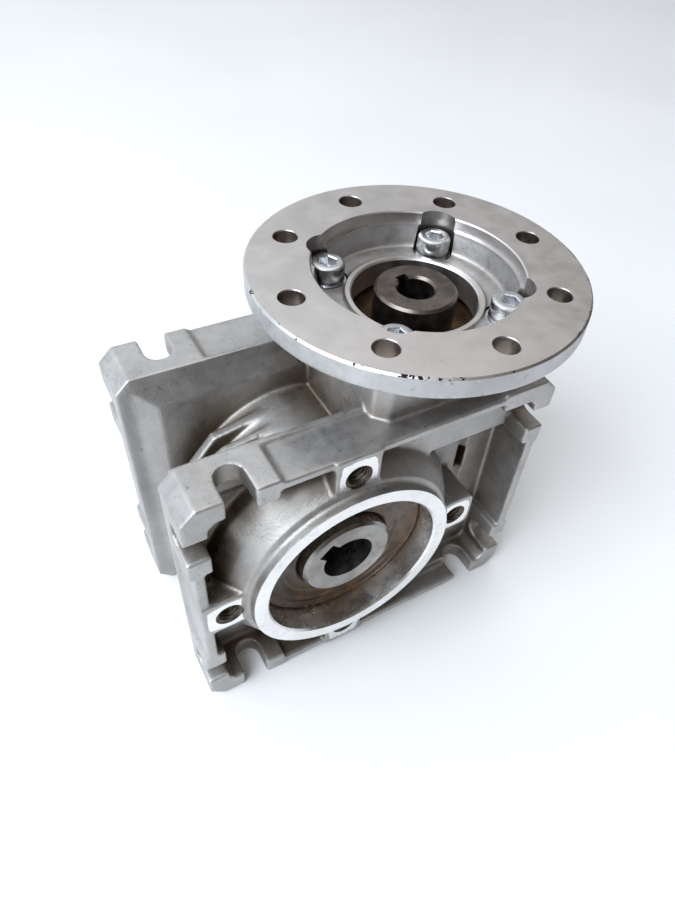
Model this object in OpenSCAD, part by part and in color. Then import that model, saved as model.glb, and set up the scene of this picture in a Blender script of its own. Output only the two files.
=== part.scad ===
// Worm gearbox, 30 mm centre distance, hollow output shaft and round motor flange.
// Frame: +Z up along the worm towards the motor, +Y along the output shaft,
// +X from the output axis to the worm axis; origin at the centre of the output bore.

/* [Housing] */
// Corner to centre half height of the cast frame, mm
half_height = 40; // [39.5:0.1:41]
// Left face of the frame measured from the output axis, mm
left_face = 40; // [39.5:0.1:41]
// Right face of the frame measured from the output axis, mm
right_face = 57; // [56:0.1:58]
// Half width across the two foot frames, mm
half_width = 28; // [27.6:0.1:28.4]
// Thickness of the foot frames at their bolting pads, mm
foot_wall = 5.5; // [5:0.1:6]
// Width of the open foot slots, mm
slot_width = 6.5; // [6:0.1:7]
// Distance of the foot slots from the axes of the frame, mm
slot_pitch = 27; // [26:0.1:27.5]

/* [Output side] */
// Bore of the hollow output shaft, mm
output_bore = 14; // [12:0.5:15]
// Length of the hollow output shaft, mm
output_length = 55; // [54:0.1:56]
// Outer diameter of the output pilot ring, mm
pilot_ring = 55; // [54.5:0.1:56]
// Distance between the faces of the two pilot rings, mm
ring_span = 63; // [62.6:0.1:64]
// Pitch circle of the threaded output lugs, mm
lug_circle = 65; // [64:0.1:66]

/* [Motor side] */
// Outer diameter of the motor flange, mm
flange_od = 80; // [79:0.5:84]
// Height of the motor flange face above the output axis, mm
flange_face = 62; // [61.5:0.1:63]
// Pilot register diameter of the motor flange, mm
motor_pilot = 50; // [49.5:0.1:50.5]
// Pitch circle of the motor flange holes, mm
motor_circle = 65; // [64:0.1:66]
// Diameter of the eight motor flange holes, mm
motor_hole = 5.8; // [5.5:0.1:6.6]
// Bore of the hollow worm, mm
motor_bore = 9; // [8:0.5:9.5]

/* [Gearing] */
// Number of teeth on the bronze wheel
wheel_teeth = 30; // [30]
// Axial module of the worm, mm
gear_module = 1.40; // [1.44]
// Distance between worm axis and output axis, mm
centre_distance = 30; // [30]

/* [Hidden] */

$fn = 96;
e = 0.1;                       // overrun used where one cut passes through a face
fit = 0.05;                    // clearance of assembled, non-running seats
cd = centre_distance;
xr = right_face;
xl = left_face;
hh = half_height;
hw = half_width;
ring_face = ring_span / 2;
lug_face = ring_face - 2.9;
lug_r = lug_circle / 2;
corner = 3.5;                  // chamfer on the four frame corners
pad_step = 0.9;                // pads stand this far above the rest of the frame
pad_end = 18.3;                // half length of the relieved middle of a frame side
slot_in = 18.75;               // closed end of a foot slot from the middle plane
trough = 16.5;                 // near frame, inner edge
trough_far = 15;               // far frame, inner edge
m6_r = 3;
m5_r = 2.5;

// gearing
wheel_r = gear_module * wheel_teeth / 2;
worm_r = cd - wheel_r;
lead = PI * gear_module;
thread_tip = worm_r + 1.40;
thread_root = worm_r - 1.68;
wheel_tip = wheel_r + 1.40;
wheel_root = wheel_r - 1.72;
rim_half = 7;
hub_half = 7.5;

// output stack, distances from the middle plane
seat_in = 7.5;                 // inner face of the output bearings
seat_out = 16.5;               // outer face of the output bearings
seal_in = 17.5;
seal_out = 24.5;
chamber_r = 23.3;
chamber_half = 8;
cover_seat = 17.6;
cover_plate = 23.6;
spigot_r = 24.2;
hub_r = 12.5;
case_r = 25.6;

// worm stack, heights
joint_z = 48;                  // joint between housing and motor flange
floor_z = flange_face - 10;    // floor of the screw pockets
recess_z = flange_face - 8.6;  // floor of the flange recess
rim_z = flange_face - 5.5;     // underside of the flange disc
worm_top = flange_face - 6;
front_z0 = 27;
front_z1 = 36;
worm_seal_z0 = 38;
worm_seal_z1 = 45;
rear_z0 = -34.4;
rear_z1 = -25.4;
screw_off = 22 * sin(45);      // flange screws from the worm axis, along x and y
cover_screw_r = 31.8;

steel = [0.52, 0.52, 0.53];
bright = [0.78, 0.79, 0.80];
cast = [0.74, 0.75, 0.77];
rubber = [0.13, 0.10, 0.09];
bronze = [0.80, 0.58, 0.26];
brass = [0.76, 0.66, 0.36];

// ---- helpers -------------------------------------------------------------

// 2-D shape in x,z carried along +Y from y0 to y1
module along_y(y0, y1) {
    translate([0, y1, 0]) rotate([90, 0, 0]) linear_extrude(y1 - y0) children();
}

// cylinder about the output axis between y0 and y1
module ycyl(r, y0, y1, x = 0, z = 0) {
    translate([x, y1, z]) rotate([90, 0, 0]) cylinder(r = r, h = y1 - y0);
}

// cylinder about the worm axis between z0 and z1
module wcyl(r, z0, z1) {
    translate([cd, 0, z0]) cylinder(r = r, h = z1 - z0);
}

// profile of points [radius, y] turned about the output axis
module turn_y(points) {
    rotate([-90, 0, 0]) rotate_extrude() polygon(points);
}

// side view outline of the frame, inset from its outer faces
module outline(inset = 0, cut = corner) {
    a = -xl + inset; b = xr - inset; c = hh - inset;
    polygon([[a, c - cut], [a + cut, c], [b - cut, c], [b, c - cut],
             [b, cut - c], [b - cut, -c], [a + cut, -c], [a, cut - c]]);
}

// rectangular frustum lying along y, inset ia at ya and ib at yb
module frustum(ya, ia, yb, ib) {
    intersection() {
        translate([xr + 1, 0, 0]) rotate([0, -90, 0]) linear_extrude(xr + xl + 2)
            polygon([[ia - hh, ya], [hh - ia, ya], [hh - ib, yb], [ib - hh, yb]]);
        translate([0, 0, -hh - 1]) linear_extrude(2 * hh + 2)
            polygon([[ia - xl, ya], [xr - ia, ya], [xr - ib, yb], [ib - xl, yb]]);
        along_y(min(ya, yb) - e, max(ya, yb) + e) outline(0);
    }
}

// one open foot slot pointing to -Y or +Y, cut along direction z
module slot_cut(side, depth) {
    hull_len = hw + 1 - slot_in - slot_width / 2;
    translate([0, side * (slot_in + slot_width / 2), -depth / 2]) {
        cylinder(d = slot_width, h = depth);
        translate([-slot_width / 2, side > 0 ? 0 : -hull_len, 0])
            cube([slot_width, hull_len, depth]);
    }
}

// ---- housing -------------------------------------------------------------

// walls of one foot frame between y0 and y1
module frame_walls(y0, y1) {
    along_y(y0, y1) difference() {
        outline(0);
        outline(foot_wall, 2);
    }
}

// relief of the middle of each frame side, leaving the pads proud
module pad_reliefs(side) {
    y0 = side > 0 ? trough_far : -hw - e;
    y1 = side > 0 ? hw + e : -trough;
    for (s = [1, -1]) {
        along_y(y0, y1) polygon([[-pad_end, s * (hh + e)], [xr - 16, s * (hh + e)],
            [xr - 17, s * (hh - pad_step)], [1 - pad_end, s * (hh - pad_step)]]);
        along_y(y0, y1) polygon([[s > 0 ? xr + e : -xl - e, -pad_end],
            [s > 0 ? xr - pad_step : pad_step - xl, 1 - pad_end],
            [s > 0 ? xr - pad_step : pad_step - xl, pad_end - 1],
            [s > 0 ? xr + e : -xl - e, pad_end]]);
    }
    // the free edge of the middle is thinner than the pads
    z0 = side > 0 ? hw - 6 : -hw - e;
    z1 = side > 0 ? hw + e : 6 - hw;
    along_y(z0, z1) {
        translate([-pad_end, 3.2 - hh]) square([xr - 16 + pad_end, 2 * hh - 6.4]);
        translate([3.6 - xl, -pad_end]) square([xr + xl - 7.2, 2 * pad_end]);
    }
}

module foot_slots() {
    for (side = [-1, 1]) {
        for (s = [-1, 1]) {
            translate([-slot_pitch, 0, s * hh]) slot_cut(side, 16);
            for (x = [-xl, xr])
                translate([x, 0, s * slot_pitch]) rotate([0, 90, 0]) slot_cut(side, 16);
        }
        translate([44, 0, -hh]) slot_cut(side, 16);
    }
}

// four lugs that carry the threaded output holes, blended into the casing
module near_lugs() {
    half = 5.8;
    for (a = [90, 180, 270]) {
        reach = a == 180 ? xl - 0.8 : hh - pad_step;
        rotate([0, -a, 0]) translate([24, -lug_face, -half])
            cube([reach - 24, lug_face - 15, 2 * half]);
    }
    translate([24, -lug_face, -half]) cube([12, lug_face - 14, 2 * half]);
    translate([24, -lug_face, 2 - half]) cube([14.2, lug_face - 14, 2 * half - 4]);
    for (s = [1, -1]) ycyl(2.2, -lug_face, -14, 36, s * (half - 2.2));
}

module lug_holes(y0, y1) {
    for (a = [0:90:270]) rotate([0, -a, 0]) ycyl(m6_r, y0, y1, lug_r, 0);
}

// flared casing around the near output bearing
module near_boss() {
    difference() {
        turn_y([[0, -12], [34.3, -12], [34.3, -19.5], [31.6, -24.6], [29.4, -27.6],
                [28.9, -28.6], [27.5, -28.9], [27.5, 0.6 - ring_face],
                [26.9, -ring_face], [0, -ring_face]]);
        along_y(-40, -10) difference() {
            square(200, center = true);
            outline(1.2, corner);
        }
    }
}

// neck of the housing under the motor flange, 2-D plan
module neck_plan(r = 3) {
    a = 22;
    polygon([[cd - a, r - a], [cd + r - a, -a], [cd + a - r, -a], [cd + a, r - a],
             [cd + a, a - r], [cd + a - r, a], [cd + r - a, a], [cd - a, a - r]]);
}

// rib round the left half of the wheel casing, with its corners at (xa, za) and (xb, zb)
module casing_rib(y0, y1, xa, za, xb, zb) {
    along_y(y0, y1) polygon([[0, case_r - 0.1], [-5, case_r - 0.5], [xb, zb], [xa, za], [xa, -za],
                             [xb, -zb], [-5, 0.5 - case_r], [0, 0.1 - case_r]]);
}

module housing_solid() {
    difference() {
        union() {
            frame_walls(-hw, -trough + 1.5);
            frustum(-trough, 0.8, -8.5, 8.8);
        }
        pad_reliefs(-1);
        frustum(-22.2, foot_wall, -13.4, foot_wall + 8.8);
        // flat web beside the right frame wall, and a small window next to the worm casing
        along_y(-hw - e, -15.1) translate([44.6, -pad_end]) square([xr - 3.6 - 44.6, 2 * pad_end]);
        along_y(-26, -5) translate([41.6, 0]) square([3, 8.6]);
    }
    difference() {
        union() {
            frame_walls(trough_far - 1, hw);
            frustum(trough_far, 0.8, 12, 8.8);
            along_y(trough_far - e, cover_seat) outline(0.8);
        }
        pad_reliefs(1);
    }
    near_boss();
    near_lugs();
    // wheel casing with two eight-sided ribs
    ycyl(case_r, -14, trough_far);
    casing_rib(5.5, 8.5, -28.5, 13, -21, 22);
    casing_rib(-0.2, 2.2, -28, 16, -20.5, 22.6);
    // worm casing, wider at both bearings
    wcyl(15.2, -38, 30);
    wcyl(19.6, -hh, -20);
    translate([0, 0, 22]) linear_extrude(joint_z - 22) neck_plan();
    translate([cd, -15.2, -36]) cube([11.4, 2.6, 64]);
    translate([cd, 12.6, -36]) cube([14, 2.6, 64]);
    // thicker web in the two left corners of the near frame
    for (s = [1, -1]) along_y(-15.6, -12) polygon([[3 - xl, s * (hh - 3)], [3 - xl, s * 7],
        [-28, s * 5], [-19, s * 17], [-11, s * (hh - 3)]]);
}

module housing() {
    color(cast) difference() {
        housing_solid();
        foot_slots();
        // near output bearing, seal and chamber
        ycyl(23.5, -ring_face - e, -seal_in);
        ycyl(19.5, -seal_in - e, 0);
        ycyl(21, -seat_out, 0);
        ycyl(chamber_r, -chamber_half, chamber_half + e);
        ycyl(spigot_r + fit, chamber_half, cover_seat + e);
        ycyl(37.2, cover_seat, hw + e);
        // worm cavity
        wcyl(11.6, rear_z1 + 2, front_z0 - 4);
        wcyl(16.2, front_z0 - 4.4, front_z0);
        wcyl(18.5, front_z0, joint_z + e);
        wcyl(19.4, front_z1, front_z1 + 1.4);
        wcyl(12.5, rear_z1 - e, rear_z1 + 2 + e);
        wcyl(15, -hh - e, rear_z1);
        wcyl(15.8, rear_z0 - 1.3, rear_z0);
        // threads
        lug_holes(-lug_face - e, -lug_face + 11);
        for (sx = [-1, 1], sy = [-1, 1])
            translate([cd + sx * screw_off, sy * screw_off, joint_z - 12])
                cylinder(r = m5_r + fit, h = 13);
        for (a = [45:90:315]) rotate([0, -a, 0])
            ycyl(m5_r + fit, cover_seat - 5.2, cover_seat + e, cover_screw_r, 0);
        // drafted small hole beside the near left foot
        translate([-xl - 1, -13.6, 34.2]) rotate([0, 90, 0]) cylinder(r = 1.6, h = 9);
    }
}

// ---- far side cover --------------------------------------------------------

module side_cover() {
    color(cast) difference() {
        union() {
            turn_y([[0, 9], [spigot_r - 0.6, 9], [spigot_r, 9.6], [spigot_r, cover_seat],
                    [36.6, cover_seat], [36.6, cover_plate - 0.5], [36.1, cover_plate],
                    [27.2, cover_plate], [27.2, lug_face - 0.3],
                    [27.5, lug_face], [27.5, ring_face - 0.6], [26.9, ring_face],
                    [0, ring_face]]);
            for (a = [0:90:270]) rotate([0, -a, 0]) {
                ycyl(5.8, cover_seat, lug_face, 31, 0);
                translate([24.5, cover_plate - 1, -5.2]) cube([6, lug_face - cover_plate + 1, 10.4]);
            }
        }
        ycyl(21, 8, seat_out);
        ycyl(23.5, seal_in, ring_face + e);
        ycyl(19.5, 8, 30);
        difference() {
            ycyl(spigot_r + 1, 12, 14.4);
            ycyl(spigot_r - 2, 12 - e, 14.5);
        }
        lug_holes(cover_seat - e, lug_face + e);
        for (a = [45:90:315]) rotate([0, -a, 0])
            ycyl(2.75, cover_seat - e, cover_plate + e, cover_screw_r, 0);
    }
}

module cover_o_ring() {
    color(rubber) rotate([-90, 0, 0]) rotate_extrude()
        translate([spigot_r - 0.98, 13.2]) circle(r = 1);
}

// socket head screw with its head seat at z = 0, head up
module cap_screw(shank, r = 2.5, head_r = 4.25, head_h = 5, key = 4) {
    difference() {
        union() {
            rotate_extrude() polygon([[0, 0], [head_r, 0], [head_r, head_h - 0.4],
                [head_r - 0.4, head_h], [0, head_h]]);
            rotate_extrude() polygon([[0, e], [r, e], [r, 0.6 - shank],
                [r - 0.6, -shank], [0, -shank]]);
        }
        translate([0, 0, head_h - 2.5]) cylinder(d = key / cos(30), h = 3, $fn = 6);
    }
}

module cover_screws() {
    color(bright) for (a = [45:90:315]) rotate([0, -a, 0])
        translate([cover_screw_r, cover_plate, 0]) rotate([-90, 0, 0]) cap_screw(10.5);
}

// ---- motor side ------------------------------------------------------------

module motor_flange() {
    color(cast) difference() {
        union() {
            wcyl(27.4, joint_z, rim_z + e);
            translate([cd, 0, 0]) rotate_extrude() polygon([[0, rim_z], [flange_od / 2 - 0.6, rim_z],
                [flange_od / 2, rim_z + 0.6], [flange_od / 2, flange_face - 0.5],
                [flange_od / 2 - 0.5, flange_face], [0, flange_face]]);
        }
        // recess around a raised, machined lip
        translate([cd, 0, 0]) rotate_extrude() polygon([[15.3, recess_z + 0.9], [16.7, recess_z + 0.9],
            [17.3, recess_z], [22.8, recess_z], [24.3, flange_face - 3.2],
            [motor_pilot / 2, flange_face - 3.2], [motor_pilot / 2, flange_face + e],
            [15.3, flange_face + e]]);
        wcyl(15.3, joint_z - e, flange_face + e);
        for (a = [0:45:315]) translate([cd, 0, 0]) rotate(a)
            translate([motor_circle / 2, 0, rim_z - e])
                cylinder(d = motor_hole, h = flange_face - rim_z + 2 * e);
        for (sx = [-1, 1], sy = [-1, 1])
            translate([cd + sx * screw_off, sy * screw_off, 0]) {
                translate([0, 0, joint_z - e]) cylinder(r = 2.75, h = 9);
                translate([0, 0, floor_z]) cylinder(r = 5.1, h = 12);
            }
    }
}

module flange_screws() {
    color(bright) for (sx = [-1, 1], sy = [-1, 1])
        translate([cd + sx * screw_off, sy * screw_off, floor_z + 1]) cap_screw(16);
}

module flange_washers() {
    color(bright) for (sx = [-1, 1], sy = [-1, 1])
        translate([cd + sx * screw_off, sy * screw_off, floor_z]) difference() {
            cylinder(r = 4.8, h = 1);
            translate([0, 0, -e]) cylinder(r = 2.65, h = 1 + 2 * e);
        }
}

// ---- worm ------------------------------------------------------------------

thread_half = 13;
thread_flank = tan(20);
thread_top = lead / 4 - 1.40 * thread_flank;   // half width of the thread crest along the axis

// radius of the thread at an axial distance from its middle
function thread_radius(z) =
    let (a = abs(z)) a <= thread_top ? thread_tip
    : max(thread_root, thread_tip - (a - thread_top) / thread_flank);

module worm_thread() {
    span = thread_top + (thread_tip - thread_root) * thread_flank;
    foot = span / lead * 360;
    lobe = [for (i = [0:28]) -foot + foot * i / 14];
    root = [for (i = [1:3]) foot + (360 - 2 * foot) * i / 4];
    translate([0, 0, -thread_half])
        rotate(180 - 360 * thread_half / lead)
        linear_extrude(2 * thread_half, twist = -720 * thread_half / lead,
            slices = round(2 * thread_half / lead * 20), $fn = 24)
            polygon([for (a = concat(lobe, root))
                let (r = a > foot ? thread_root : thread_radius(a / 360 * lead))
                [r * cos(a), r * sin(a)]]);
}

module worm() {
    color(steel) translate([cd, 0, 0]) difference() {
        union() {
            rotate_extrude() polygon([[0, -35.6], [4.5, -35.6], [5, -35.1], [5, rear_z1],
                [7.4, rear_z1], [7.4, rear_z1 + 3.2], [6.4, rear_z1 + 4.2],
                [6.4, 20], [9.8, 23.4], [12, 23.4], [12, front_z0],
                [10, front_z0], [10, worm_top - 0.6], [9.4, worm_top], [0, worm_top]]);
            worm_thread();
        }
        translate([0, 0, worm_top - 26]) cylinder(d = motor_bore, h = 27);
        translate([0, 0, worm_top - 0.6])
            rotate_extrude() polygon([[0, 0], [motor_bore / 2, 0], [motor_bore / 2 + 0.7, 0.7],
                [0, 0.7]]);
        rotate(100) translate([0, -1.5, worm_top - 24]) cube([motor_bore / 2 + 1.4, 3, 25]);
    }
}

// ---- ball bearings, drawn about z with one face at z = 0 -------------------

module bearing_outer(od, id, w, pr, br) {
    rotate_extrude() difference() {
        polygon([[id, 0], [od - 0.4, 0], [od, 0.4], [od, w - 0.4], [od - 0.4, w], [id, w]]);
        translate([pr, w / 2]) circle(r = br + 0.02);
    }
}

module bearing_inner(od, id, w, pr, br) {
    rotate_extrude() difference() {
        polygon([[id + 0.4, 0], [od, 0], [od, w], [id + 0.4, w], [id, w - 0.4], [id, 0.4]]);
        translate([pr, w / 2]) circle(r = br + 0.02);
    }
}

module bearing_balls(w, pr, br, n) {
    for (i = [0:n - 1]) rotate(i * 360 / n) translate([pr, 0, w / 2]) sphere(r = br, $fn = 64);
}

module bearing_cage(w, pr, br, n) {
    difference() {
        translate([0, 0, w / 2 - br - 0.4]) difference() {
            cylinder(r = pr + 0.55, h = 2 * br + 0.8);
            translate([0, 0, -e]) cylinder(r = pr - 0.55, h = 2 * br + 1);
        }
        for (i = [0:n - 1]) rotate(i * 360 / n) translate([pr - 3, 0, w / 2])
            rotate([0, 90, 0]) cylinder(r = br + 0.05, h = 6);
    }
}

// sizes: seat radii, land radii, width, ball circle, ball radius, ball count
front = [18.5, 10, 16.2, 12.3, 9, 14.25, 2.4, 11];
rear = [15, 5, 11.9, 8.1, 9, 10, 2.4, 7];
out = [21, 12.5, 18.7, 14.8, 9, 16.75, 2.4, 13];

module at_front() { translate([cd, 0, front_z0]) children(); }
module at_rear() { translate([cd, 0, rear_z0]) children(); }
module at_near() { translate([0, -seat_in, 0]) rotate([90, 0, 0]) children(); }
module at_far() { translate([0, seat_in, 0]) rotate([-90, 0, 0]) children(); }

module outer_of(b) { color(steel) bearing_outer(b[0], b[2], b[4], b[5], b[6]); }
module inner_of(b) { color(steel) bearing_inner(b[3], b[1], b[4], b[5], b[6]); }
module cage_of(b) { color(brass) bearing_cage(b[4], b[5], b[6], b[7]); }
module balls_of(b) { color(bright) bearing_balls(b[4], b[5], b[6], b[7]); }

module worm_front_outer_ring() { at_front() outer_of(front); }
module worm_front_inner_ring() { at_front() inner_of(front); }
module worm_front_cage() { at_front() cage_of(front); }
module worm_front_balls() { at_front() balls_of(front); }
module worm_rear_outer_ring() { at_rear() outer_of(rear); }
module worm_rear_inner_ring() { at_rear() inner_of(rear); }
module worm_rear_cage() { at_rear() cage_of(rear); }
module worm_rear_balls() { at_rear() balls_of(rear); }
module output_near_outer_ring() { at_near() outer_of(out); }
module output_near_inner_ring() { at_near() inner_of(out); }
module output_near_cage() { at_near() cage_of(out); }
module output_near_balls() { at_near() balls_of(out); }
module output_far_outer_ring() { at_far() outer_of(out); }
module output_far_inner_ring() { at_far() inner_of(out); }
module output_far_cage() { at_far() cage_of(out); }
module output_far_balls() { at_far() balls_of(out); }

// ---- seals, circlips, cap ----------------------------------------------------

// lip seal about z, outside face at z = w, lip clears the shaft by 0.05
module lip_seal(od, shaft, w) {
    s = shaft + 0.05;
    color(rubber) rotate_extrude() polygon([[od, 0.5], [od, w - 0.5], [od - 0.5, w],
        [od - 2.2, w], [od - 2.6, w - 0.8], [s + 3.2, w - 0.8], [s + 1.2, w - 0.3],
        [s, w - 1.2], [s + 1.1, w - 2.2], [s + 1.6, w - 2.8], [s, 2.2], [s + 0.7, 1.4],
        [s + 2.2, 1.4], [s + 2.2, 2.2], [s + 3.0, 2.2], [s + 2.9, w - 2.4],
        [od - 2.0, w - 2.4], [od - 2.0, 0], [od - 0.5, 0]]);
}

// garter spring that sits in the back of the lip
module garter(shaft) {
    color(steel) rotate_extrude() translate([shaft + 2.9, 0.75]) circle(r = 0.6, $fn = 48);
}

module worm_seal() { translate([cd, 0, worm_seal_z0]) lip_seal(18.5, 10, 7); }
module worm_seal_spring() { translate([cd, 0, worm_seal_z0]) garter(10); }
module output_near_seal() { translate([0, -seal_in, 0]) rotate([90, 0, 0]) lip_seal(23.5, hub_r, 7); }
module output_far_seal() { translate([0, seal_in, 0]) rotate([-90, 0, 0]) lip_seal(23.5, hub_r, 7); }
module output_seal_springs() {
    translate([0, -seal_in, 0]) rotate([90, 0, 0]) garter(hub_r);
    translate([0, seal_in, 0]) rotate([-90, 0, 0]) garter(hub_r);
}

// internal circlip: open ring with two eyes
module circlip(r, thick, width) {
    color(steel) difference() {
        union() {
            difference() {
                cylinder(r = r, h = thick);
                translate([0, 0, -e]) cylinder(r = r - width, h = thick + 2 * e);
                rotate(-14) translate([0, 0, -e]) cube([r + 1, r + 1, thick + 2 * e]);
            }
            difference() {
                cylinder(r = r, h = thick);
                translate([0, 0, -e]) cylinder(r = r - width, h = thick + 2 * e);
                rotate(14) translate([0, 0, -e]) mirror([0, 1, 0])
                    cube([r + 1, r + 1, thick + 2 * e]);
            }
            for (a = [16, -16]) rotate(a) translate([r - 2.6, 0, 0])
                cylinder(r = 1.9, h = thick, $fn = 32);
        }
        for (a = [16, -16]) rotate(a) translate([r - 2.6, 0, -e])
            cylinder(r = 0.8, h = thick + 2 * e, $fn = 32);
        translate([0, -2.6, -e]) cube([r + 1, 5.2, thick + 2 * e]);
    }
}

module front_circlip() { translate([cd, 0, front_z1 + 0.1]) circlip(19.3, 1.2, 2.6); }
module rear_circlip() { translate([cd, 0, rear_z0 - 1.2]) circlip(15.7, 1.1, 2.4); }

module rear_cap() {
    color(rubber) translate([cd, 0, 0]) rotate_extrude() polygon([[0, -38.6], [12.4, -38.6],
        [13, -39.4], [14.6, -39.4], [15, -39], [15, -36.5], [14.6, -36.1], [12.4, -36.1],
        [12.4, -37.2], [0, -37.2]]);
}

// ---- output hub and bronze rim -------------------------------------------------

module output_hub() {
    color(steel) difference() {
        turn_y([[0, -output_length / 2], [hub_r - 0.8, -output_length / 2],
                [hub_r, 0.8 - output_length / 2], [hub_r, -hub_half], [14.4, -hub_half],
                [14.4, -rim_half], [16.5, -rim_half], [16.5, rim_half], [14.4, rim_half],
                [14.4, hub_half], [hub_r, hub_half], [hub_r, output_length / 2 - 0.8],
                [hub_r - 0.8, output_length / 2], [0, output_length / 2]]);
        ycyl(output_bore / 2, -output_length, output_length);
        rotate([0, -135, 0]) translate([0, -output_length, -2.5])
            cube([output_bore / 2 + 2.3, 2 * output_length, 5]);
    }
}

// involute flank: angle of the profile at radius r for base radius rb
function inv(rb, r) = let (c = acos(min(1, rb / r))) tan(c) * 180 / PI - c;

module wheel_rim() {
    rb = wheel_r * cos(20);
    half = 90 / wheel_teeth - 0.10 / wheel_r * 180 / PI;   // half tooth angle less backlash
    radii = [wheel_root, wheel_r - 1, wheel_r - 0.2, wheel_r + 0.6, wheel_tip];
    flank = [for (r = radii) [r, half + inv(rb, wheel_r) - inv(rb, max(rb, r))]];
    tooth = concat([for (p = flank) [p[0] * cos(-p[1]), p[0] * sin(-p[1])]],
        [for (i = [4:-1:0]) [flank[i][0] * cos(flank[i][1]), flank[i][0] * sin(flank[i][1])]]);
    pitch = 360 / wheel_teeth;
    points = [for (k = [0:wheel_teeth - 1], p = tooth)
        let (a = (k + 0.5) * pitch) [p[0] * cos(a) - p[1] * sin(a), p[0] * sin(a) + p[1] * cos(a)]];
    twist = lead / (2 * PI * worm_r) / wheel_r * 180 / PI * 2 * rim_half;
    color(bronze) difference() {
        translate([0, -rim_half, 0]) rotate([-90, 0, 0]) rotate(-twist / 2)
            linear_extrude(2 * rim_half, twist = -twist, slices = 6) polygon(points);
        ycyl(16.5, -rim_half - e, rim_half + e);
    }
}

housing();
side_cover();
cover_o_ring();
cover_screws();
motor_flange();
flange_screws();
flange_washers();
worm();
worm_front_outer_ring();
worm_front_inner_ring();
worm_front_cage();
worm_front_balls();
worm_rear_outer_ring();
worm_rear_inner_ring();
worm_rear_cage();
worm_rear_balls();
worm_seal();
worm_seal_spring();
front_circlip();
rear_circlip();
rear_cap();
output_hub();
wheel_rim();
output_near_outer_ring();
output_near_inner_ring();
output_near_cage();
output_near_balls();
output_far_outer_ring();
output_far_inner_ring();
output_far_cage();
output_far_balls();
output_near_seal();
output_far_seal();
output_seal_springs();
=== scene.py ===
import math

import bmesh
import bpy
import numpy as np
from mathutils import Euler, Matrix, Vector


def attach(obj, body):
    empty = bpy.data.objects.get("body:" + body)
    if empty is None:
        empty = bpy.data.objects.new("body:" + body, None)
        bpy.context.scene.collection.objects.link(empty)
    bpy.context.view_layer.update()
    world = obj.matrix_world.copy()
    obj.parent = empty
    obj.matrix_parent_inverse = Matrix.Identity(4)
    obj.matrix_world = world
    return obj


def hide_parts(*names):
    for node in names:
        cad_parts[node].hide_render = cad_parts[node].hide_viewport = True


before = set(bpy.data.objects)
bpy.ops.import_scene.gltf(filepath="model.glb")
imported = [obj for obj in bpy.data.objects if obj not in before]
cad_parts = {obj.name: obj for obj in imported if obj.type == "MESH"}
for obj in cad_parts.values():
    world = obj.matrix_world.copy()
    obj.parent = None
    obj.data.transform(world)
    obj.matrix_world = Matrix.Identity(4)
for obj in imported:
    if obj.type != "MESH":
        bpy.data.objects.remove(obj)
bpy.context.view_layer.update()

# Sizes are in millimetres, in the frame of the CAD model, and are turned into metres when a mesh is made.
MM = 0.001
WORM_X = 30.0            # worm axis
RING_FACE = 31.5         # output ring faces, from the middle plane
LUG_FACE = 28.6
LUG_R = 32.5             # output bolt circle radius
FLANGE_FACE = 62.0
RIM_Z = 56.5             # underside of the flange disc
FLOOR_Z = 52.0           # floor of the screw pockets
RECESS_Z = 53.4          # floor of the flange recess
JOINT_Z = 48.0
SCREW_R = 22.0           # flange screw circle radius
COVER_SCREW_R = 31.8     # side cover screw circle radius
COVER_SEAT_Y = 23.6      # seat of the cover screw heads
SEAL_IN = 17.5           # inner face of the output seals, from the middle plane
SEAL_R = 23.5            # output seal bore radius
SEAL_LIP_R = 12.55       # lip of the output seals, just clear of the hub
FEET_Z = -40.05          # top of the table, just under the feet
TAPPED_DEPTH = 11.0      # depth of the threaded holes in the output lugs


# ---- mesh helpers ---------------------------------------------------------------

def add_object(name, mesh, material=None):
    o = bpy.data.objects.new(name, mesh)
    bpy.context.collection.objects.link(o)
    if material:
        mesh.materials.append(material)
    return o


def from_lists(name, verts, faces):
    mesh = bpy.data.meshes.new(name)
    mesh.from_pydata([(x * MM, y * MM, z * MM) for x, y, z in verts], [], faces)
    bm = bmesh.new()
    bm.from_mesh(mesh)
    bmesh.ops.recalc_face_normals(bm, faces=bm.faces)
    bm.to_mesh(mesh)
    bm.free()
    return mesh


def turned(name, profile, axis="z", centre=(0.0, 0.0), n=128):
    """Closed profile of (radius, height) points turned about an axis along Y or Z."""
    verts, rings, faces = [], [], []
    for r, h in profile:
        if r < 1e-6:
            rings.append([len(verts)] * n)
            points = [(0.0, 0.0)]
        else:
            rings.append(list(range(len(verts), len(verts) + n)))
            points = [(r * math.cos(2 * math.pi * i / n), r * math.sin(2 * math.pi * i / n)) for i in range(n)]
        for u, v in points:
            a, b = centre[0] + u, centre[1] + v
            verts.append((a, b, h) if axis == "z" else (a, h, b))
    for k in range(len(profile)):
        a, b = rings[k], rings[(k + 1) % len(profile)]
        if a[0] == a[1] and b[0] == b[1]:
            continue
        for i in range(n):
            j = (i + 1) % n
            face = []
            for v in (a[i], a[j], b[j], b[i]):
                if v not in face:
                    face.append(v)
            faces.append(face)
    return from_lists(name, verts, faces)


def rod(r, h0, h1, axis="z", centre=(0.0, 0.0), n=64, chamfer=0.0):
    """Solid cylinder, its mouth at h1 opened by a chamfer."""
    profile = [(0, h0), (r, h0)]
    profile += [(r, h1 - chamfer), (r + chamfer, h1)] if chamfer else [(r, h1)]
    return turned("rod", profile + [(0, h1)], axis, centre, n)


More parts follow.
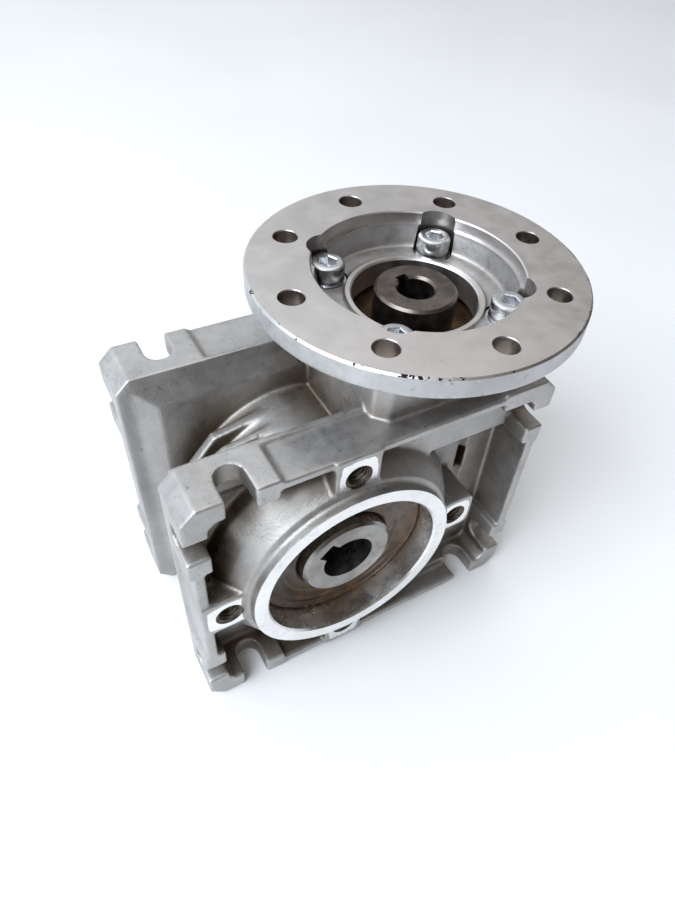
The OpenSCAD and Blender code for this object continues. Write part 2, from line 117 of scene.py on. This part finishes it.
def extruded(name, points, axis, h0, h1):
    """Polygon in the two other coordinates, carried along an axis."""
    n = len(points)
    place = {
        "x": lambda u, v, h: (h, u, v),
        "y": lambda u, v, h: (u, h, v),
        "z": lambda u, v, h: (u, v, h),
    }[axis]
    verts = [place(u, v, h) for h in (h0, h1) for u, v in points]
    faces = [list(range(n)), list(range(2 * n - 1, n - 1, -1))]
    faces += [[i, (i + 1) % n, n + (i + 1) % n, n + i] for i in range(n)]
    return from_lists(name, verts, faces)


def box_mesh(x0, y0, z0, x1, y1, z1):
    return extruded("box", [(x0, y0), (x1, y0), (x1, y1), (x0, y1)], "z", z0, z1)


def joined(name, meshes):
    bm = bmesh.new()
    for m in meshes:
        bm.from_mesh(m)
    mesh = bpy.data.meshes.new(name)
    bm.to_mesh(mesh)
    bm.free()
    return mesh


def evaluated(o):
    """Replaces the object's mesh by what its modifiers make of it."""
    dg = bpy.context.evaluated_depsgraph_get()
    dg.update()
    mesh = bpy.data.meshes.new_from_object(o.evaluated_get(dg))
    o.modifiers.clear()
    o.data = mesh
    return mesh


def cut(o, mesh, slot=1, op="DIFFERENCE"):
    """Takes a closed mesh away from the object; the new faces get the material in that slot."""
    tool = add_object("tool", mesh)
    mesh.materials.clear()
    for m in o.data.materials:
        mesh.materials.append(m)
    mesh.polygons.foreach_set("material_index", [slot] * len(mesh.polygons))
    mod = o.modifiers.new("cut", "BOOLEAN")
    mod.operation, mod.object, mod.solver = op, tool, "MANIFOLD"
    evaluated(o)
    bpy.data.objects.remove(tool)
    return o


def ring_mean(co, a, b, degree):
    n = len(co)
    total = np.empty_like(co)
    for k in range(3):
        total[:, k] = np.bincount(a, co[b, k], n) + np.bincount(b, co[a, k], n)
    return total / degree[:, None]


def vertex_normals(co, quads):
    n = len(co)
    face = np.cross(co[quads[:, 2]] - co[quads[:, 0]], co[quads[:, 3]] - co[quads[:, 1]])
    out = np.zeros_like(co)
    for c in range(4):
        for k in range(3):
            out[:, k] += np.bincount(quads[:, c], face[:, k], n)
    return out / np.maximum(np.linalg.norm(out, axis=1), 1e-12)[:, None]


def soften(mesh, fillet, round_over):
    """Rounds a remeshed casting: inner corners fill as fillets, then all edges lose their sharpness."""
    n = len(mesh.vertices)
    co = np.empty(n * 3)
    mesh.vertices.foreach_get("co", co)
    co = co.reshape(-1, 3)
    edges = np.empty(len(mesh.edges) * 2, np.int32)
    mesh.edges.foreach_get("vertices", edges)
    a, b = edges.reshape(-1, 2).T
    degree = (np.bincount(a, minlength=n) + np.bincount(b, minlength=n)).astype(float)
    quads = np.empty(len(mesh.polygons) * 4, np.int32)
    mesh.polygons.foreach_get("vertices", quads)
    quads = quads.reshape(-1, 4)
    for _ in range(4):
        co += 0.5 * (ring_mean(co, a, b, degree) - co)
    for step in range(fillet):
        if step % 6 == 0:
            normals = vertex_normals(co, quads)
        move = ring_mean(co, a, b, degree) - co
        inward = np.einsum("ij,ij->i", move, normals) > 0
        co += 0.6 * move * inward[:, None]
    for _ in range(round_over):
        co += 0.5 * (ring_mean(co, a, b, degree) - co)
    mesh.vertices.foreach_set("co", co.ravel())
    mesh.update()


def casting(name, meshes, voxel, fillet, round_over, faces, materials):
    """One rough casting made from overlapping closed meshes."""
    o = add_object(name, joined(name, meshes))
    mod = o.modifiers.new("remesh", "REMESH")
    mod.mode, mod.voxel_size = "VOXEL", voxel * MM
    mesh = evaluated(o)
    soften(mesh, fillet, round_over)
    mod = o.modifiers.new("thin", "DECIMATE")
    mod.ratio = min(1.0, faces / (2 * len(mesh.polygons)))
    evaluated(o)
    o.data.materials.clear()
    for m in materials:
        o.data.materials.append(m)
    return o


def shade(o, angle=32.0):
    o.data.polygons.foreach_set("use_smooth", [True] * len(o.data.polygons))
    o.data.set_sharp_from_angle(angle=math.radians(angle))
    return o


def thread_tool(r_root, r_crest, pitch, depth, n=36, per_pitch=6):
    """Cutter for a tapped hole along Z from 0 down to -depth, with a countersunk mouth."""
    rows = int((depth / pitch) * per_pitch)
    verts, faces = [], []
    for k in range(rows + 1):
        z = -depth + depth * k / rows
        for i in range(n):
            wave = (z / pitch - i / n) % 1.0
            r = r_crest + (r_root - r_crest) * (1 - abs(2 * wave - 1))
            r = max(r, r_root + 0.15 + min(z + 0.45, 0.3)) if z > -0.45 else r
            a = 2 * math.pi * i / n
            verts.append((r * math.cos(a), r * math.sin(a), z))
    top = rows * n
    for i in range(n):
        a = 2 * math.pi * i / n
        verts.append(((r_root + 0.45) * math.cos(a), (r_root + 0.45) * math.sin(a), 0.6))
    for k in range(rows + 1):
        for i in range(n):
            j = (i + 1) % n
            faces.append([k * n + i, k * n + j, (k + 1) * n + j, (k + 1) * n + i])
    verts.append((0, 0, -depth - 1.2))
    faces += [[len(verts) - 1, (i + 1) % n, i] for i in range(n)]
    faces.append([top + n + i for i in range(n)])
    return verts, faces


# ---- materials --------------------------------------------------------------------

class Nodes:
    """Short forms for building a node tree."""

    def __init__(self, name):
        self.mat = bpy.data.materials.new(name)
        self.mat.use_nodes = True
        self.tree = self.mat.node_tree
        self.shader = self.tree.nodes["Principled BSDF"]
        self.place = self.add("ShaderNodeTexCoord").outputs["Object"]

    def add(self, kind, **settings):
        node = self.tree.nodes.new(kind)
        for key, value in settings.items():
            setattr(node, key, value)
        return node

    def link(self, a, b):
        self.tree.links.new(a, b)

    def noise(self, size_mm, detail=3.0, rough=0.55, stretch=(1, 1, 1)):
        """Noise whose features are about size_mm across."""
        m = self.add("ShaderNodeMapping")
        m.inputs["Scale"].default_value = stretch
        self.link(self.place, m.inputs["Vector"])
        t = self.add("ShaderNodeTexNoise")
        t.inputs["Scale"].default_value = 1 / (size_mm * MM)
        t.inputs["Detail"].default_value = detail
        t.inputs["Roughness"].default_value = rough
        self.link(m.outputs[0], t.inputs["Vector"])
        return t.outputs["Fac"]

    def ramp(self, value, stops):
        r = self.add("ShaderNodeValToRGB")
        e = r.color_ramp.elements
        while len(e) < len(stops):
            e.new(0.5)
        for el, (pos, col) in zip(e, stops):
            el.position = pos
            el.color = (*col, 1) if isinstance(col, tuple) else (col, col, col, 1)
        self.link(value, r.inputs["Fac"])
        return r.outputs["Color"]

    def mix(self, fac, a, b, blend="MIX"):
        m = self.add("ShaderNodeMix", data_type="RGBA", blend_type=blend)
        for socket, value in ((m.inputs[0], fac), (m.inputs[6], a), (m.inputs[7], b)):
            if isinstance(value, bpy.types.NodeSocket):
                self.link(value, socket)
            elif isinstance(value, tuple):
                socket.default_value = (*value, 1)
            else:
                socket.default_value = value
        return m.outputs[2]

    def math(self, op, a, b=0.0, clamp=False):
        m = self.add("ShaderNodeMath", operation=op, use_clamp=clamp)
        for socket, value in zip(m.inputs, (a, b)):
            if isinstance(value, bpy.types.NodeSocket):
                self.link(value, socket)
            else:
                socket.default_value = value
        return m.outputs[0]

    def axes(self):
        s = self.add("ShaderNodeSeparateXYZ")
        self.link(self.place, s.inputs[0])
        return s.outputs

    def radius(self, axis, centre):
        """Distance in metres from an axis along Y or Z."""
        x, y, z = self.axes()
        u = self.math("SUBTRACT", x, centre[0] * MM)
        v = self.math("SUBTRACT", y if axis == "z" else z, centre[1] * MM)
        return self.math("SQRT", self.math("ADD", self.math("MULTIPLY", u, u), self.math("MULTIPLY", v, v)))

    def tool_marks(self, axis, centre, pitch_mm):
        """Fine rings left by a turning tool, on faces square to the axis and on walls along it."""
        x, y, z = self.axes()
        along = z if axis == "z" else y
        total = self.math("ADD", self.radius(axis, centre), along)
        return self.math("SINE", self.math("MULTIPLY", total, 2 * math.pi / (pitch_mm * MM)))

    def bump(self, height, distance_mm, strength=1.0, under=None):
        b = self.add("ShaderNodeBump")
        b.inputs["Distance"].default_value = distance_mm * MM
        b.inputs["Strength"].default_value = strength
        self.link(height, b.inputs["Height"])
        if under:
            self.link(under, b.inputs["Normal"])
        return b.outputs["Normal"]

    def pointiness(self):
        return self.add("ShaderNodeNewGeometry").outputs["Pointiness"]

    def open_sky(self, reach_mm):
        """1 on open faces, towards 0 in pockets and corners of the same piece: the mask for painted shade."""
        a = self.add("ShaderNodeAmbientOcclusion", samples=8, only_local=True)
        a.inputs["Distance"].default_value = reach_mm * MM
        return a.outputs["AO"]

    def done(self, colour, rough, normal, metallic=1.0):
        s = self.shader
        s.inputs["Metallic"].default_value = metallic
        self.link(colour, s.inputs["Base Color"])
        self.link(rough, s.inputs["Roughness"])
        self.link(normal, s.inputs["Normal"])
        return self.mat


def cast_metal(name, light, dark, rough=(0.42, 0.60), grain=1.0, pocket_shade_strength=1.0):
    """Die-cast skin: blotchy, faintly sandy, brighter where edges are rubbed, with painted shade darkening its
    creases and pockets.
    """
    t = Nodes(name)
    blotch = t.noise(14, 4, 0.6)
    mottle = t.noise(2.2, 3, 0.6)
    colour = t.ramp(blotch, [(0.35, dark), (0.62, light)])
    colour = t.mix(0.35, colour, t.ramp(mottle, [(0.36, dark), (0.66, light)]))
    specks = t.ramp(t.noise(1.1, 2, 0.5), [(0.26, 0.45), (0.31, 1.0)])
    colour = t.mix(0.6, colour, specks, "MULTIPLY")
    # creases go darker as painted shade; convex edges go brighter as rubbed wear
    rubbed_edges_and_crease_shade = t.ramp(t.pointiness(), [(0.43, 0.55), (0.5, 1.0), (0.56, 1.25)])
    colour = t.mix(0.5, colour, rubbed_edges_and_crease_shade, "MULTIPLY")
    # painted shade: pockets and corners of the casting turn darker and brown
    pocket_shade = t.ramp(t.open_sky(16), [(0.28, (0.40, 0.32, 0.24)), (0.88, (1.0, 1.0, 1.0))])
    colour = t.mix(pocket_shade_strength, colour, pocket_shade, "MULTIPLY")
    value = t.math("ADD", t.math("MULTIPLY", t.noise(6, 4, 0.65), 0.6), t.math("MULTIPLY", mottle, 0.4))
    roughness = t.ramp(value, [(0.35, rough[0]), (0.65, rough[1])])
    normal = t.bump(t.noise(9, 2, 0.5), 0.35 * grain, 0.35)
    normal = t.bump(mottle, 0.12 * grain, 0.5, normal)
    normal = t.bump(t.noise(0.42, 2, 0.6), 0.10 * grain, 0.7, normal)
    return t.done(colour, roughness, normal)


def machined_metal(name, light, dark, axis, centre, pitch=0.7, rough=(0.22, 0.34), marks=0.001):
    """Turned or faced surface with fine rings, faint stains, and painted shade with a painted brown reflection
    deepening inside its bore.
    """
    t = Nodes(name)
    colour = t.ramp(t.noise(11, 4, 0.62), [(0.36, dark), (0.62, light)])
    # 0 at the mouth of the near bore, 1 where the painted shade and brown reflection are full
    mouth, reach = 32, 12
    depth = t.math("ADD", t.math("MULTIPLY", t.axes()[1], 1 / (reach * MM)), mouth / reach)
    depth = t.math("ADD", depth, t.math("MULTIPLY", t.noise(6, 3, 0.6), 0.3))
    # painted shade and painted brown reflection: darker and browner deeper into the near bore
    painted_bore_shade = t.ramp(depth, [(0.45, (1.0, 1.0, 1.0)), (0.95, (0.62, 0.47, 0.32))])
    colour = t.mix(1.0, colour, painted_bore_shade, "MULTIPLY")
    stain = t.ramp(t.noise(3.0, 3, 0.6), [(0.25, 0.80), (0.45, 1.0)])
    colour = t.mix(0.7, colour, stain, "MULTIPLY")
    rings = t.tool_marks(axis, centre, pitch)
    roughness = t.ramp(t.noise(5, 4, 0.6), [(0.35, rough[0]), (0.68, rough[1])])
    normal = t.bump(rings, marks, 0.8)
    normal = t.bump(t.noise(1.4, 2, 0.5), 0.010, 0.5, normal)
    return t.done(colour, roughness, normal)


def worked_steel(name, light, dark, rough=(0.25, 0.42), size=6.0, metallic=1.0):
    t = Nodes(name)
    colour = t.ramp(t.noise(size, 4, 0.62), [(0.36, dark), (0.64, light)])
    spots = t.ramp(t.noise(0.9, 3, 0.6), [(0.24, 0.6), (0.30, 1.0)])
    colour = t.mix(0.5, colour, spots, "MULTIPLY")
    roughness = t.ramp(t.noise(size * 0.5, 4, 0.6), [(0.35, rough[0]), (0.68, rough[1])])
    normal = t.bump(t.noise(0.8, 2, 0.5), 0.008, 0.5)
    return t.done(colour, roughness, normal, metallic)


def moulded_rubber(name, light, dark):
    t = Nodes(name)
    colour = t.ramp(t.noise(3.5, 4, 0.65), [(0.34, dark), (0.66, light)])
    roughness = t.ramp(t.noise(2.0, 3, 0.6), [(0.35, 0.28), (0.7, 0.46)])
    normal = t.bump(t.noise(0.45, 3, 0.6), 0.04, 0.5)
    return t.done(colour, roughness, normal, 0.0)


CAST = cast_metal("cast_skin", (0.52, 0.51, 0.505), (0.38, 0.365, 0.355))
FLANGE_CAST = cast_metal("flange_skin", (0.58, 0.58, 0.59), (0.42, 0.41, 0.41))
MACHINED_Y = machined_metal("machined_output", (0.94, 0.94, 0.94), (0.86, 0.85, 0.84), "y", (0, 0))
DRILLED = cast_metal("drilled_alloy", (0.44, 0.42, 0.42), (0.26, 0.245, 0.24), (0.3, 0.5), 0.4)
TAPPED = worked_steel("tapped_alloy", (0.20, 0.17, 0.145), (0.07, 0.055, 0.045), (0.42, 0.6), 2.0)
ZINC = worked_steel("zinc_screw", (0.70, 0.71, 0.73), (0.60, 0.61, 0.63), (0.24, 0.34), 5.0)
DARK_STEEL = worked_steel("dark_steel", (0.19, 0.165, 0.15), (0.11, 0.092, 0.080), (0.28, 0.42), 5.0)
SHAFT_STEEL = worked_steel("shaft_steel", (0.36, 0.345, 0.33), (0.23, 0.215, 0.20), (0.26, 0.40), 5.0)
BEARING_STEEL = worked_steel("bearing_steel", (0.62, 0.62, 0.63), (0.46, 0.46, 0.47), (0.16, 0.28), 4.0)
BALL_STEEL = worked_steel("ball_steel", (0.78, 0.78, 0.79), (0.66, 0.66, 0.67), (0.06, 0.14), 2.0)
BRASS = worked_steel("pressed_brass", (0.74, 0.60, 0.30), (0.55, 0.42, 0.20), (0.25, 0.4), 3.0)
BRONZE = worked_steel("cut_bronze", (0.74, 0.50, 0.24), (0.56, 0.35, 0.15), (0.24, 0.4), 3.0)
RUBBER = moulded_rubber("seal_rubber", (0.125, 0.070, 0.034), (0.042, 0.025, 0.014))
SPRING = worked_steel("spring_steel", (0.45, 0.45, 0.46), (0.30, 0.30, 0.31), (0.2, 0.35), 1.5)


def flange_face_metal():
    """Faced ring of the motor flange: pinkish light grey, turned rings, dark chips along its near edge."""
    t = Nodes("machined_flange")
    light, dark = (0.66, 0.635, 0.625), (0.60, 0.575, 0.565)
    colour = t.ramp(t.noise(12, 4, 0.62), [(0.36, dark), (0.64, light)])
    scratch = t.ramp(t.noise(1.5, 2, 0.5, (1.0, 5.0, 1.0)), [(0.26, 0.6), (0.31, 1.0)])
    colour = t.mix(0.6, colour, scratch, "MULTIPLY")
    far = t.math("GREATER_THAN", t.radius("z", (WORM_X, 0)), 0.03932)
    x, y, z = t.axes()
    near = t.math("LESS_THAN", y, 0.006)
    clusters = t.math("MULTIPLY", t.noise(9, 1, 0.5), 0.6)
    patchy = t.math("ADD", clusters, t.math("MULTIPLY", t.noise(1.0, 3, 0.7), 0.5))
    chips = t.math("MULTIPLY", t.math("MULTIPLY", far, near), t.math("GREATER_THAN", patchy, 0.60))
    colour = t.mix(chips, colour, (0.018, 0.014, 0.012))
    roughness = t.ramp(t.noise(5, 4, 0.6), [(0.35, 0.30), (0.68, 0.44)])
    normal = t.bump(t.tool_marks("z", (WORM_X, 0), 0.3), 0.003, 0.8)
    normal = t.bump(t.noise(0.5, 2, 0.5), 0.02, 0.6, normal)
    return t.done(colour, roughness, normal)


FLANGE_FACED = flange_face_metal()


# ---- housing ------------------------------------------------------------------------

def make_housing():
    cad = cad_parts["housing"].data.copy()
    bm = bmesh.new()
    bm.from_mesh(cad)
    bmesh.ops.remove_doubles(bm, verts=bm.verts, dist=0.0005 * MM)
    bm.to_mesh(cad)
    bm.free()
    cad.materials.clear()
    stock = [
        # the bores are filled here and cut again, crisp, after the casting has been rounded
        rod(24.4, -31.2, 8.5, "y"), rod(24.9, 8.0, 17.2, "y"),
        turned("ring_stock", [(0, -32.1), (27.5, -32.1), (27.5, -28.5), (0, -28.5)], "y"),
        rod(19.6, 26, 47.6, "z", (WORM_X, 0)), rod(16.4, -39.6, -24, "z", (WORM_X, 0)),
    ]
    for k in range(4):
        a = math.radians(90 * k)
        stock.append(rod(3.4, -29.0, -17.0, "y", (LUG_R * math.cos(a), LUG_R * math.sin(a))))
    base = add_object("housing_base", cad)
    for mesh in stock:
        cut(base, mesh, 0, "UNION")
    o = casting("housing_casting", [base.data], 0.36, 9, 2, 170000, [CAST, MACHINED_Y, TAPPED])
    bpy.data.objects.remove(base)
    # one turning cut makes the ring face, the seal bore, the bearing seats and the wheel chamber
    cut(o, turned("output_cut", [
        (0, -33.5), (29.0, -33.5), (29.0, -RING_FACE), (23.95, -RING_FACE), (23.5, -31.0),
        (23.5, -17.5), (19.5, -17.5), (19.5, -16.5), (21, -16.5), (21, -8), (23.3, -8), (23.3, 8),
        (24.25, 8), (24.25, 17.6), (37.2, 17.6), (37.2, 29), (0, 29)], "y"))
    cut(o, turned("lug_cut", [(29.6, -33), (45, -33), (45, -LUG_FACE), (29.6, -LUG_FACE)], "y"))
    cut(o, turned("worm_cut", [
        (0, -42), (15, -42), (15, -35.7), (15.8, -35.7), (15.8, -34.4), (15, -34.4),
        (15, -25.4), (12.5, -25.4), (12.5, -23.4), (11.6, -23.4), (11.6, 22.8), (16.2, 22.8),
        (16.2, 27), (18.5, 27), (18.5, 36), (19.4, 36), (19.4, 37.4), (18.5, 37.4),
        (18.5, 49), (0, 49)], "z", (WORM_X, 0)))
    verts, faces = thread_tool(3.0, 2.55, 1.0, TAPPED_DEPTH)
    for k in range(4):
        a = math.radians(90 * k)
        cx, cz = LUG_R * math.cos(a), LUG_R * math.sin(a)
        cut(o, from_lists("thread", [(cx + x, -LUG_FACE - z, cz + y) for x, y, z in verts], faces), 2)
    shade(o)
    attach(o, "casing")
    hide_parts("housing")


# ---- motor flange ---------------------------------------------------------------------

def make_flange():
    at = (WORM_X, 0)
    stock = [
        turned("disc", [(0, RIM_Z), (39.4, RIM_Z), (40, RIM_Z + 0.6), (40, FLANGE_FACE + 0.4),
                        (0, FLANGE_FACE + 0.4)],
               "z", at, 192),
        rod(27.4, JOINT_Z, RIM_Z + 0.5, "z", at, 128),
    ]
    recess = turned("recess", [
        (0, RECESS_Z - 3), (14.6, RECESS_Z - 3), (15.0, RECESS_Z + 1.2), (16.6, RECESS_Z + 1.2),
        (17.4, RECESS_Z), (22.8, RECESS_Z), (24.3, FLANGE_FACE - 3.2), (24.3, FLANGE_FACE + 1),
        (0, FLANGE_FACE + 1)], "z", at, 160)
    base = add_object("flange_base", joined("flange_base", stock[:1]))
    cut(base, stock[1], 0, "UNION")
    cut(base, recess, 0)
    o = casting("flange_casting", [base.data], 0.32, 8, 2, 120000, [FLANGE_CAST, FLANGE_FACED, DRILLED])
    bpy.data.objects.remove(base)
    # facing cut, pilot recess and the bore through the middle
    cut(o, turned("face_cut", [
        (0, JOINT_Z - 1), (15.3, JOINT_Z - 1), (15.3, RECESS_Z + 0.5), (15.7, RECESS_Z + 0.9),
        (22.0, RECESS_Z + 0.9),
        (24.2, FLANGE_FACE - 3.2), (25.0, FLANGE_FACE - 3.2), (25.0, FLANGE_FACE - 0.3), (25.3, FLANGE_FACE),
        (39.5, FLANGE_FACE), (40.4, FLANGE_FACE - 0.7), (42, FLANGE_FACE - 0.7), (42, FLANGE_FACE + 3),
        (0, FLANGE_FACE + 3)], "z", at, 192))
    for k in range(8):
        a = math.radians(45 * k)
        c = (WORM_X + LUG_R * math.cos(a), LUG_R * math.sin(a))
        cut(o, rod(2.9, RIM_Z - 3, FLANGE_FACE + 0.4, "z", c, 48, 0.6), 2)
    for k in range(4):
        a = math.radians(45 + 90 * k)
        c = (WORM_X + SCREW_R * math.cos(a), SCREW_R * math.sin(a))
        cut(o, rod(5.1, FLOOR_Z, FLANGE_FACE + 2, "z", c, 64), 2)
        cut(o, rod(2.75, JOINT_Z - 2, FLOOR_Z + 1, "z", c, 40), 2)
    shade(o)
    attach(o, "casing")
    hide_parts("motor_flange")


# ---- screws ----------------------------------------------------------------------------

def cap_screw(shank, r=2.5, head=4.25, tall=5.0, key=4.0, pitch=0.8):
    """Socket head screw about Z with its seat at 0: knurled head, tapered socket, cut thread."""
    n = 72
    verts, faces, rows = [], [], []

    def ring(radii, z):
        rows.append(list(range(len(verts), len(verts) + n)))
        for i in range(n):
            a = 2 * math.pi * i / n
            rr = radii(i) if callable(radii) else radii
            verts.append((rr * math.cos(a), rr * math.sin(a), z))

    def hexagon(across):
        def at(i):
            a = (2 * math.pi * i / n) % (math.pi / 3)
            return across / 2 / math.cos(a - math.pi / 6)
        return at

    def knurl(i):
        return head - (0.16 if i % 2 else 0.0)

    ring(0.01, tall - 2.6)
    ring(hexagon(key), tall - 2.4)
    ring(hexagon(key), tall - 0.25)
    ring(hexagon(key + 0.45), tall)
    ring(head - 0.9, tall)
    ring(head - 0.5, tall - 0.08)
    ring(head - 0.2, tall - 0.32)
    ring(knurl, tall - 0.62)
    ring(knurl, 0.35)
    ring(head - 0.2, 0.0)
    ring(r, 0.0)
    rows_z = int((shank - 1.5) / pitch * 5)
    for k in range(rows_z + 1):
        z = -1.0 - (shank - 1.5) * k / rows_z
        ring(lambda i, z=z: r - 0.42 * abs(2 * ((z / pitch - i / n) % 1.0) - 1), z)
    ring(r - 0.55, -shank)
    for a, b in zip(rows, rows[1:]):
        faces += [[a[i], a[(i + 1) % n], b[(i + 1) % n], b[i]] for i in range(n)]
    faces.append(rows[0])
    faces.append(list(reversed(rows[-1])))
    return verts, faces


def make_screws(name, node, places, shank):
    """places: function from a local point to the row frame, one per screw."""
    verts, faces = cap_screw(shank)
    all_v, all_f = [], []
    for place in places:
        start = len(all_v)
        all_v += [place(v) for v in verts]
        all_f += [[start + i for i in f] for f in faces]
    o = add_object(name, from_lists(name, all_v, all_f), ZINC)
    shade(o, 30)
    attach(o, "casing")
    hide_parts(node)


def flange_screw_places():
    out = []
    for k in range(4):
        a, turn = math.radians(45 + 90 * k), math.radians(17 + 41 * k)
        cx, cy = WORM_X + SCREW_R * math.cos(a), SCREW_R * math.sin(a)
        out.append(lambda v, cx=cx, cy=cy, t=turn: (
            cx + v[0] * math.cos(t) - v[1] * math.sin(t), cy + v[0] * math.sin(t) + v[1] * math.cos(t),
            FLOOR_Z + 1 + v[2]))
    return out


def cover_screw_places():
    out = []
    for k in range(4):
        a = math.radians(45 + 90 * k)
        cx, cz = COVER_SCREW_R * math.cos(a), COVER_SCREW_R * math.sin(a)
        out.append(lambda v, cx=cx, cz=cz: (cx + v[0], COVER_SEAT_Y + v[2], cz - v[1]))
    return out


# ---- seals ----------------------------------------------------------------------------

def make_seal(name, node, side):
    """Lip seal in the output ring: moulded outer face with two shallow ribs and a dust lip on the shaft."""
    s = SEAL_LIP_R
    profile = [(SEAL_R, 0.5), (SEAL_R, 6.3), (23.3, 6.75), (22.9, 7.0), (22.2, 7.0), (21.8, 6.8), (21.5, 6.45),
               (20.9, 6.35), (20.5, 6.55), (20.0, 6.55), (19.6, 6.3), (17.6, 6.2), (17.2, 6.4), (16.7, 6.4),
               (16.3, 6.15), (15.2, 6.35), (14.2, 6.7), (13.4, 6.85), (12.9, 6.5), (s, 5.8), (s + 0.5, 5.2),
               (s + 1.1, 4.8), (s + 1.6, 4.2), (s, 2.2), (s + 0.7, 1.4), (s + 2.2, 1.4), (s + 2.2, 2.2),
               (s + 3.0, 2.2), (s + 2.9, 4.6), (21.5, 4.6), (21.5, 0), (23.0, 0)]
    o = add_object(name, turned(name, [(r, side * (SEAL_IN + h)) for r, h in profile], "y", n=160), RUBBER)
    shade(o, 40)
    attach(o, "casing")
    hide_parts(node)


# ---- carried-over CAD nodes ---------------------------------------------------------------

def dress(node, material):
    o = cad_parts[node]
    o.data.materials.clear()
    o.data.materials.append(material)


def dress_all():
    dress("flange_washers", ZINC)
    dress("worm", DARK_STEEL)
    dress("output_hub", SHAFT_STEEL)
    dress("wheel_rim", BRONZE)
    dress("side_cover", CAST)
    for node in ("rear_cap", "cover_o_ring", "worm_seal"):
        dress(node, RUBBER)
    for node in ("front_circlip", "rear_circlip", "worm_seal_spring", "output_seal_springs"):
        dress(node, SPRING)
    for where in ("worm_front", "worm_rear", "output_near", "output_far"):
        dress(where + "_outer_ring", BEARING_STEEL)
        dress(where + "_inner_ring", BEARING_STEEL)
        dress(where + "_cage", BRASS)
        dress(where + "_balls", BALL_STEEL)


# ---- stage --------------------------------------------------------------------------------

def make_stage():
    floor = add_object("floor", box_mesh(-3000, -3000, -60, 3000, 3000, FEET_Z))
    t = Nodes("pale_table")
    colour = t.ramp(t.noise(180, 2, 0.5), [(0.35, (0.80, 0.80, 0.81)), (0.65, (0.84, 0.84, 0.85))])
    roughness = t.ramp(t.noise(20, 2, 0.5), [(0.3, 0.42), (0.7, 0.5)])
    t.done(colour, roughness, t.bump(t.noise(0.8, 2, 0.5), 0.02, 0.3), 0.0)
    floor.data.materials.append(t.mat)

    # a room lit from its back left, and dim and brown behind the camera
    world = bpy.data.worlds.new("room")
    world.use_nodes = True
    tree = world.node_tree
    way = tree.nodes.new("ShaderNodeTexCoord").outputs["Generated"]
    bright_side = Vector((-0.62, 0.62, 0.48))
    dot = tree.nodes.new("ShaderNodeVectorMath")
    dot.operation = "DOT_PRODUCT"
    dot.inputs[1].default_value = bright_side.normalized()
    ramp = tree.nodes.new("ShaderNodeValToRGB")
    scale = tree.nodes.new("ShaderNodeMath")
    scale.operation = "MULTIPLY_ADD"
    scale.inputs[1].default_value, scale.inputs[2].default_value = 0.5, 0.5
    e = ramp.color_ramp.elements
    e.new(0.5)
    e.new(0.75)
    for el, (pos, col) in zip(e, [(0.12, (0.055, 0.040, 0.026)), (0.45, (0.21, 0.19, 0.17)),
                                  (0.70, (0.58, 0.59, 0.60)), (1.0, (1.10, 1.20, 1.30))]):
        el.position, el.color = pos, (*col, 1)
    tree.links.new(way, dot.inputs[0])
    tree.links.new(dot.outputs["Value"], scale.inputs[0])
    tree.links.new(scale.outputs[0], ramp.inputs["Fac"])
    tree.links.new(ramp.outputs["Color"], tree.nodes["Background"].inputs[0])
    bpy.context.scene.world = world

    def lamp(name, at, aim, size, power, colour):
        light = bpy.data.lights.new(name, "AREA")
        light.shape, light.size, light.size_y = "RECTANGLE", size[0], size[1]
        light.energy, light.color = power, colour
        o = bpy.data.objects.new(name, light)
        bpy.context.collection.objects.link(o)
        o.location = at
        o.rotation_euler = (Vector(aim) - Vector(at)).to_track_quat("-Z", "Y").to_euler()

    lamp("window", (-0.75, -0.20, 0.80), (0, 0, 0), (0.8, 0.8), 16.0, (0.86, 0.94, 1.0))
    lamp("ceiling", (0.25, 0.35, 1.1), (0, 0, 0), (1.0, 1.0), 2.5, (1.0, 0.98, 0.96))


def make_camera():
    data = bpy.data.cameras.new("camera")
    data.sensor_width = 36.0
    data.lens = 27.17
    data.shift_x, data.shift_y = -0.03995, -0.00719
    data.clip_start, data.clip_end = 0.005, 20.0
    cam = bpy.data.objects.new("camera", data)
    bpy.context.collection.objects.link(cam)
    cam.location = (-0.05541, -0.10947, 0.14518)
    cam.rotation_euler = Euler([math.radians(a) for a in (43.764, -4.870, -30.618)], "XYZ")
    bpy.context.scene.camera = cam


make_stage()
make_camera()
bpy.context.scene.view_settings.view_transform = "Standard"
make_housing()
make_flange()
make_screws("flange_screw_set", "flange_screws", flange_screw_places(), 16)
make_screws("cover_screw_set", "cover_screws", cover_screw_places(), 10.5)
make_seal("near_seal", "output_near_seal", -1)
make_seal("far_seal", "output_far_seal", 1)
dress_all()
